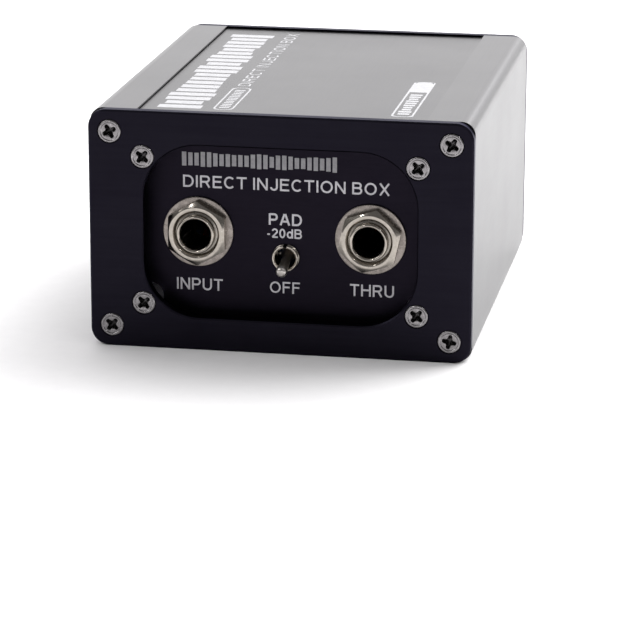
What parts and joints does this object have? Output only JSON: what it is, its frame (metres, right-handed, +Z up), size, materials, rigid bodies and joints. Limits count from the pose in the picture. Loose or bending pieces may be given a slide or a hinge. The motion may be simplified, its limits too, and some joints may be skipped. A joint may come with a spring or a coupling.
{
  "type": "direct injection box",
  "caption": "Black aluminium audio interface box with recessed end panels: jack sockets and a toggle at one end, a microphone receptacle, switches and a light at the other.",
  "frame": {"origin": "centre of the underside, on the resting surface", "axes": "+Z up; -Y out of the input end (jacks), +Y out of the output end (microphone receptacle); +X to the right seen from the input end"},
  "size_m": [0.085, 0.102, 0.0535],
  "materials": {
    "body_anodised": "satin black anodised, fine extrusion lines",
    "cover_anodised": "satin black anodised sheet",
    "bezel_anodised": "satin black anodised plate, bright broken edges",
    "panel_black": "satin black with white print",
    "screw_nickel": "nickel-plated steel",
    "spacer_aluminium": "turned aluminium",
    "nickel_plate": "bright nickel plate",
    "fibre_board": "phenolic laminate",
    "spring_silver": "silver-plated spring bronze",
    "switch_case_blue": "moulded plastic",
    "tinned_terminal": "tinned",
    "knob_black": "moulded black plastic",
    "clear_lens": "clear epoxy",
    "insert_black": "glass-filled black plastic",
    "pin_gold": "gilt",
    "circuit_board": "green solder resist",
    "shield_can": "drawn nickel-iron can",
    "coil_tape": "yellow winding tape",
    "resistor_body": "lacquered film resistor",
    "capacitor_sleeve": "shrink sleeve",
    "film_block": "moulded film capacitor",
    "chip_epoxy": "black epoxy",
    "wire_jacket": "insulated hook-up wire"
  },
  "bodies": {
    "chassis": {"driver_chip": "chip_epoxy", "electrolytic_capacitors": "capacitor_sleeve", "extruded_body": "body_anodised", "film_capacitors": "film_block", "ground_switch_bushing": "nickel_plate", "ground_switch_case": "switch_case_blue", "ground_switch_terminals": "tinned_terminal", "indicator_leads": "tinned_terminal", "indicator_lens": "clear_lens", "input_bezel": "bezel_anodised", "input_corner_screws": "screw_nickel", "input_jack_frame": "nickel_plate", "input_jack_insulators": "fibre_board", "input_jack_nut": "nickel_plate", "input_jack_sleeve_tag": "spring_silver", "input_jack_tip_spring": "spring_silver", "input_jack_washer": "nickel_plate", "input_panel": "panel_black", "input_panel_screws": "screw_nickel", "input_panel_spacers": "spacer_aluminium", "input_wiring": "wire_jacket", "main_board": "circuit_board", "mode_switch_base": "fibre_board", "mode_switch_frame": "nickel_plate", "mode_switch_terminals": "tinned_terminal", "output_bezel": "bezel_anodised", "output_corner_screws": "screw_nickel", "output_panel": "panel_black", "output_panel_screws": "screw_nickel", "output_panel_spacers": "spacer_aluminium", "output_wiring": "wire_jacket", "pad_switch_bushing": "nickel_plate", "pad_switch_case": "switch_case_blue", "pad_switch_terminals": "tinned_terminal", "receptacle_insert": "insert_black", "receptacle_nuts": "screw_nickel", "receptacle_pins": "pin_gold", "receptacle_screws": "screw_nickel", "receptacle_shell": "nickel_plate", "resistors": "resistor_body", "thru_jack_frame": "nickel_plate", "thru_jack_insulators": "fibre_board", "thru_jack_nut": "nickel_plate", "thru_jack_sleeve_tag": "spring_silver", "thru_jack_tip_spring": "spring_silver", "thru_jack_washer": "nickel_plate", "top_cover_plate": "cover_anodised", "transformer_can": "shield_can", "transformer_clamp": "shield_can", "transformer_clamp_screws": "screw_nickel", "transformer_coil": "coil_tape"},
    "pad_lever": {"pad_switch_lever": "nickel_plate"},
    "ground_lever": {"ground_switch_lever": "nickel_plate"},
    "mode_slider": {"mode_switch_knob": "knob_black"}
  },
  "joints": [
    {"name": "pad_switch_throw", "type": "hinge", "parent": "chassis", "child": "pad_lever", "pos_m": [0.0003, -0.041, 0.0204], "axis": [-1, 0, 0], "range_deg": [0, 25]},
    {"name": "ground_switch_throw", "type": "hinge", "parent": "chassis", "child": "ground_lever", "pos_m": [-0.0034, 0.041, 0.0204], "axis": [1, 0, 0], "range_deg": [0, 25]},
    {"name": "mode_switch_travel", "type": "slide", "parent": "chassis", "child": "mode_slider", "axis": [0, 0, 1], "range_m": [0, 0.0036]}
  ]
}
